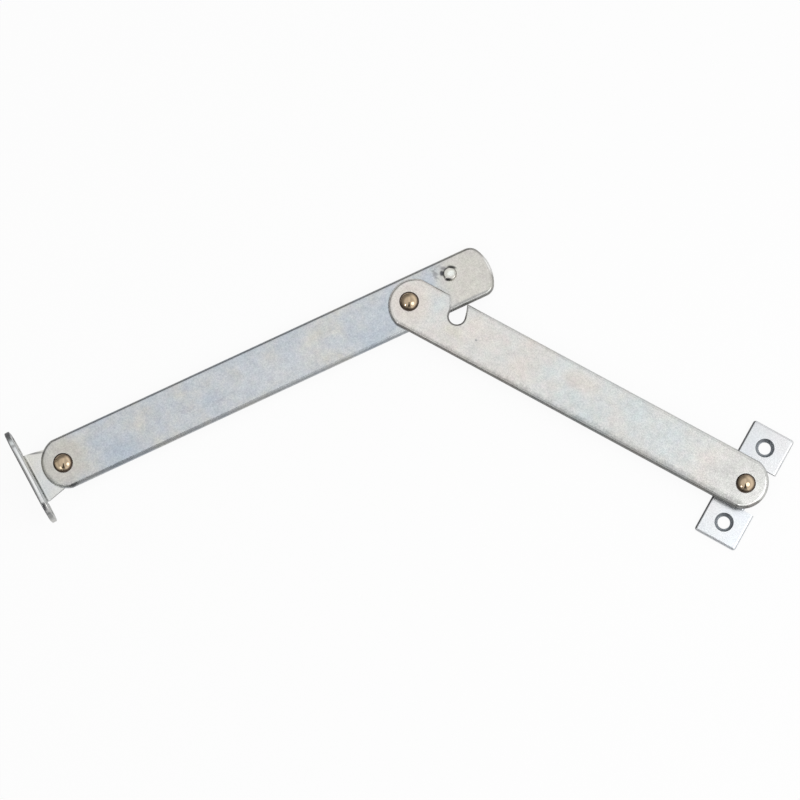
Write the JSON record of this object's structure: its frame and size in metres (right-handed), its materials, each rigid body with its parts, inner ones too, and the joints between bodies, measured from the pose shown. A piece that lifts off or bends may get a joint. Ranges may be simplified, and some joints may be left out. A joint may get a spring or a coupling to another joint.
{
  "type": "lid stay",
  "caption": "Folding lid stay: two flat steel arms riveted at a knee with a stud and notch stop, a screw plate at one end and an angle bracket at the other.",
  "frame": {"origin": "on the side rivet's axis, midway between the side plate's screw holes, in the plane of the box side that the plate's ears lie against", "axes": "+Z away from the box side, along all three rivets; +Y along the side plate; the side arm runs towards -X to the knee"},
  "size_m": [0.2125, 0.1388, 0.0168],
  "materials": {
    "arm_steel": "bright zinc plate, faint blue and straw clouding",
    "plate_steel": "bright zinc plate",
    "bracket_steel": "bright zinc plate",
    "rivet_brass": "polished dome, brown gold tone"
  },
  "bodies": {
    "side_plate": {"side_plate": "plate_steel", "rivet_side": "rivet_brass"},
    "side_arm": {"side_arm": "arm_steel"},
    "lid_arm": {"lid_arm": "arm_steel", "rivet_knee": "rivet_brass"},
    "angle_bracket": {"angle_bracket": "bracket_steel", "rivet_lid": "rivet_brass"}
  },
  "joints": [
    {"name": "side_pivot", "type": "hinge", "parent": "side_plate", "child": "side_arm", "pos_m": [0, 0, 0.0049], "axis": [0, 0, 1], "continuous": true},
    {"name": "knee_pivot", "type": "hinge", "parent": "side_arm", "child": "lid_arm", "pos_m": [-0.118, -0.00103, 0.0041], "axis": [0, 0, 1], "range_deg": [-54, 105]},
    {"name": "lid_pivot", "type": "hinge", "parent": "lid_arm", "child": "angle_bracket", "pos_m": [-0.18652, -0.0971, 0.0025], "axis": [0, 0, 1], "range_deg": [-99, 92]}
  ]
}
